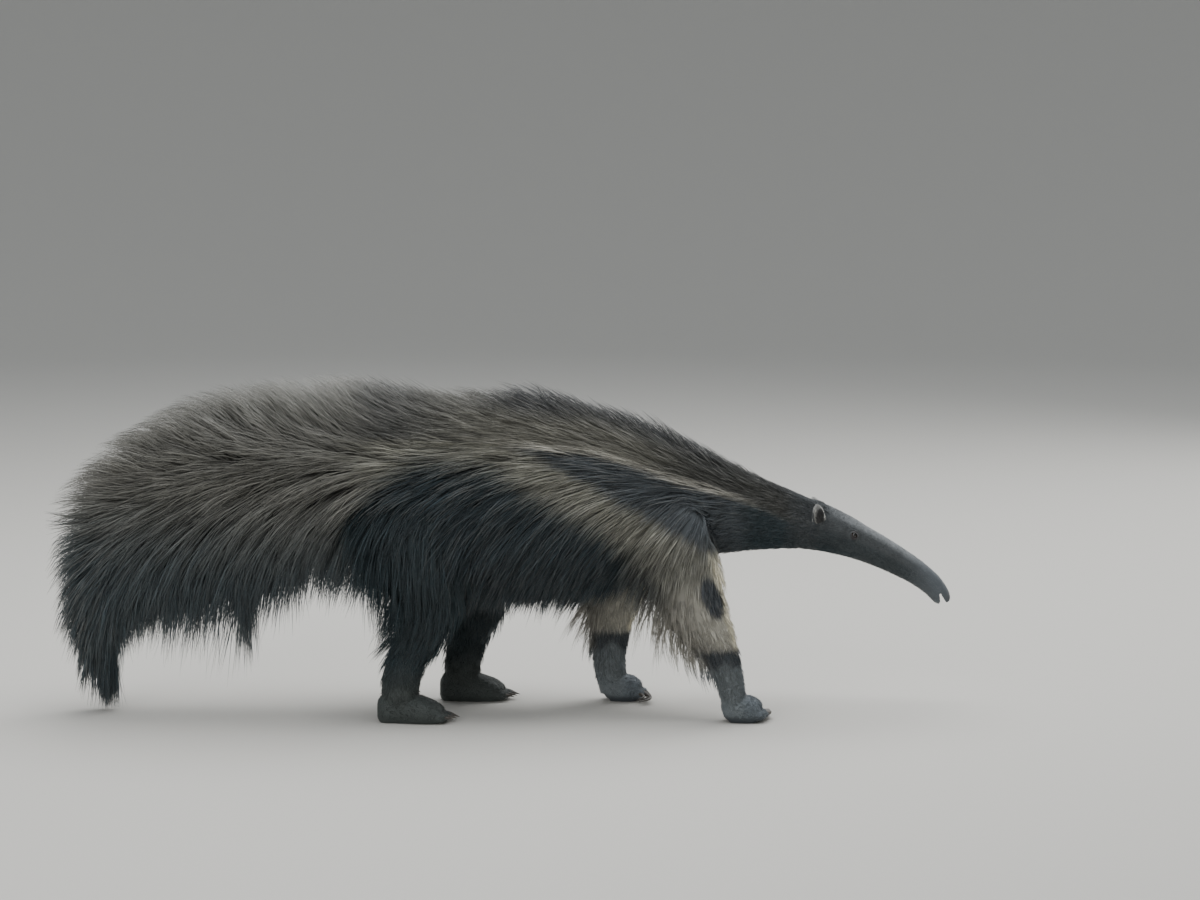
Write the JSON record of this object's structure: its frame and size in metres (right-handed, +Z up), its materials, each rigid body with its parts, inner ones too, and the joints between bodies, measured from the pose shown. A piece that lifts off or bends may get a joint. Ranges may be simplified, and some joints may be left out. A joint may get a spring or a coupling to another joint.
{
  "type": "giant anteater",
  "caption": "Life-size walking giant anteater with a long tapered snout, a mane along its back, shaggy legs and a broad bushy tail held out behind.",
  "frame": {"origin": "centre of the bottom of the bounding box: on the floor under the middle of the body, the lowest points of the soles being at height 0", "axes": "+X from the tail to the snout, the way the animal walks; +Y to the animal's left; +Z up"},
  "size_m": [1.9534, 0.4204, 0.7489],
  "materials": {
    "coat": "matt, grizzled grey-brown hair",
    "hindleg": "matt, black hair",
    "foreleg": "matt, pale hair",
    "forefoot": "matt, short grey hair",
    "face": "short, close grey hair with a slight sheen",
    "eye": "glossy"
  },
  "bodies": {
    "root": {"head": "face", "ear_left": "face", "ear_right": "face", "eye_left": "eye", "eye_right": "eye", "neck": "coat", "torso": "coat", "tail_root": "coat", "tail_middle": "coat", "tail_end": "coat", "foreleg_left": "foreleg", "foreleg_right": "foreleg", "forefoot_left": "forefoot", "forefoot_right": "forefoot", "hindleg_left": "hindleg", "hindleg_right": "hindleg", "hindfoot_left": "hindleg", "hindfoot_right": "hindleg"}
  },
  "joints": []
}
